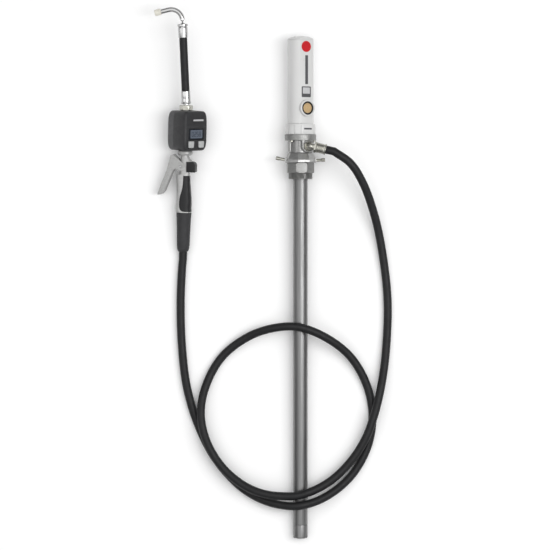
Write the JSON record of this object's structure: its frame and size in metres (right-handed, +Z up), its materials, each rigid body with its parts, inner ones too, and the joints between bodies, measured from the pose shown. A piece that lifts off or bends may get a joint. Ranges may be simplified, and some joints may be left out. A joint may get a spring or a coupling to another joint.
{
  "type": "drum barrel pump",
  "caption": "Air operated drum pump: suction tube with bung adapter, piston air motor, rubber delivery hose and metered oil gun with a bent spout, laid out flat.",
  "frame": {"origin": "on the floor, under the middle of the box round the pump and the gun, without the hose", "axes": "+Y along the pump from its foot to its air motor, +X from the gun towards the pump, +Z up from the floor that the kit lies on"},
  "size_m": [0.5774, 1.2888, 0.0987],
  "materials": {
    "white_paint": "smooth semi-gloss white paint",
    "cast_aluminium": "fine shot-blasted casting",
    "zinc_plate": "bright zinc plate with an olive tint",
    "galvanised_tube": "drawn and galvanised steel, lightly mottled",
    "chrome": "polished",
    "steel": "ground steel",
    "bronze": "sintered, grainy",
    "brass": "turned",
    "hose_rubber": "smooth black hose cover",
    "boot_rubber": "moulded dark grey rubber",
    "grip_rubber": "semi-gloss black moulding",
    "case_plastic": "fine grained dark moulding",
    "case_metal": "textured dark grey coating",
    "seal_rubber": "seal rubber",
    "white_plastic": "smooth off-white moulding",
    "key_plastic": "light grey keypad rubber",
    "window": "polished dark window",
    "display": "grey-blue liquid crystal panel",
    "circuit_board": "lacquered board"
  },
  "bodies": {
    "pump": {"foot_valve_body": "galvanised_tube", "foot_stop_pin": "steel", "suction_tube": "galvanised_tube", "outlet_body": "cast_aluminium", "packing_gland": "seal_rubber", "flange_screw_1": "zinc_plate", "flange_screw_2": "zinc_plate", "flange_screw_3": "zinc_plate", "flange_screw_4": "zinc_plate", "outlet_nipple": "zinc_plate", "motor_base": "white_paint", "valve_plug": "brass", "air_inlet_bushing": "brass", "motor_cylinder": "white_paint", "silencer_ring": "seal_rubber", "silencer_disc": "bronze", "motor_top_cap": "white_paint", "hose_ferrule_pump": "zinc_plate", "delivery_hose": "hose_rubber", "hose_boot": "boot_rubber", "hose_ferrule_gun": "zinc_plate", "swivel_stem": "zinc_plate"},
    "piston": {"air_piston": "steel", "air_piston_seal": "seal_rubber", "pump_rod": "steel", "plunger": "steel"},
    "plunger_ball": {"plunger_ball": "steel"},
    "foot_ball": {"foot_ball": "steel"},
    "air_valve_spool": {"air_valve_spool": "steel"},
    "bung_adapter": {"bung_adapter": "cast_aluminium", "clamp_ring": "seal_rubber"},
    "wing_nut": {"wing_nut": "cast_aluminium", "wing_handle_left": "zinc_plate", "wing_handle_right": "zinc_plate"},
    "swivel_nut": {"swivel_nut": "zinc_plate"},
    "gun": {"handle_body": "cast_aluminium", "grip_insert": "grip_rubber", "lever_pin": "steel", "valve_cap": "grip_rubber", "valve_spring": "steel", "meter_body": "case_metal", "meter_cover": "case_plastic", "gear_cover": "case_metal", "display_window": "window", "display_panel": "display", "circuit_board": "circuit_board", "battery": "steel", "lower_ferrule": "chrome", "spout_hose": "hose_rubber", "upper_ferrule": "chrome", "spout_pipe": "chrome"},
    "trigger_lever": {"trigger_lever": "cast_aluminium"},
    "valve_stem": {"valve_stem": "steel"},
    "measuring_gear_left": {"measuring_gear_left": "steel"},
    "measuring_gear_right": {"measuring_gear_right": "steel"},
    "reset_key": {"reset_key": "key_plastic"},
    "total_key": {"total_key": "key_plastic"},
    "spout_nut": {"spout_nut": "zinc_plate"},
    "outlet_collar": {"outlet_collar": "cast_aluminium"},
    "nozzle_tip": {"nozzle_tip": "white_plastic"}
  },
  "joints": [
    {"name": "piston_stroke", "type": "slide", "parent": "pump", "child": "piston", "axis": [0, 0.9998, 0.0216], "range_m": [0, 0.1]},
    {"name": "plunger_ball_lift", "type": "slide", "parent": "piston", "child": "plunger_ball", "axis": [0, 0.9998, 0.0216], "range_m": [0, 0.004]},
    {"name": "foot_ball_lift", "type": "slide", "parent": "pump", "child": "foot_ball", "axis": [0, 0.9998, 0.0216], "range_m": [0, 0.0045]},
    {"name": "air_valve_shift", "type": "slide", "parent": "pump", "child": "air_valve_spool", "axis": [1, 0, 0], "range_m": [-0.004, 0.004]},
    {"name": "adapter_slide", "type": "slide", "parent": "pump", "child": "bung_adapter", "axis": [0, 0.9998, 0.0216], "range_m": [-0.3, 0]},
    {"name": "wing_nut_turn", "type": "hinge", "parent": "bung_adapter", "child": "wing_nut", "pos_m": [0.1449, 0.27938, 0.03749], "axis": [0, 0.9998, 0.0216], "range_deg": [0, 300]},
    {"name": "swivel_nut_turn", "type": "hinge", "parent": "pump", "child": "swivel_nut", "pos_m": [0.179, 0.30579, 0.07783], "axis": [0.972, -0.2244, 0.0698], "continuous": true},
    {"name": "gun_swivel", "type": "hinge", "parent": "pump", "child": "gun", "pos_m": [-0.13857, 0.15372, 0.02475], "axis": [0.0243, 0.9942, 0.1045], "continuous": true},
    {"name": "trigger_pull", "type": "hinge", "parent": "gun", "child": "trigger_lever", "pos_m": [-0.14431, 0.26146, 0.03457], "axis": [-0.1761, -0.0987, 0.9794], "range_deg": [0, 18], "stiffness_Nm_per_rad": 0.6, "springref_deg": -17.19},
    {"name": "valve_stem_travel", "type": "slide", "parent": "gun", "child": "valve_stem", "axis": [0.9841, -0.0422, 0.1727], "range_m": [0, 0.0033]},
    {"name": "measuring_gear_left_spin", "type": "hinge", "parent": "gun", "child": "measuring_gear_left", "pos_m": [-0.13754, 0.34681, 0.05537], "axis": [0.6799, -0.0931, 0.7273], "continuous": true},
    {"name": "measuring_gear_right_spin", "type": "hinge", "parent": "gun", "child": "measuring_gear_right", "pos_m": [-0.12332, 0.34785, 0.04221], "axis": [0.6799, -0.0931, 0.7273], "continuous": true},
    {"name": "reset_key_press", "type": "slide", "parent": "gun", "child": "reset_key", "axis": [-0.6799, 0.0931, -0.7273], "range_m": [0, 0.001], "stiffness_N_per_m": 300, "springref_m": -0.001},
    {"name": "total_key_press", "type": "slide", "parent": "gun", "child": "total_key", "axis": [-0.6799, 0.0931, -0.7273], "range_m": [0, 0.001], "stiffness_N_per_m": 300, "springref_m": -0.001},
    {"name": "spout_nut_turn", "type": "hinge", "parent": "gun", "child": "spout_nut", "pos_m": [-0.1325, 0.40228, 0.05088], "axis": [0.0243, 0.9942, 0.1045], "continuous": true},
    {"name": "collar_turn", "type": "hinge", "parent": "gun", "child": "outlet_collar", "pos_m": [-0.13517, 0.29291, 0.03939], "axis": [0.0243, 0.9942, 0.1045], "continuous": true},
    {"name": "nozzle_tip_turn", "type": "hinge", "parent": "gun", "child": "nozzle_tip", "pos_m": [-0.19996, 0.63144, 0.07479], "axis": [-0.9727, -0.2303, -0.0267], "range_deg": [0, 90]}
  ],
  "couplings": [
    {"joint": "valve_stem_travel", "follows": "trigger_pull", "m_per_rad": 0.0105},
    {"joint": "measuring_gear_right_spin", "follows": "measuring_gear_left_spin", "ratio": -1}
  ]
}
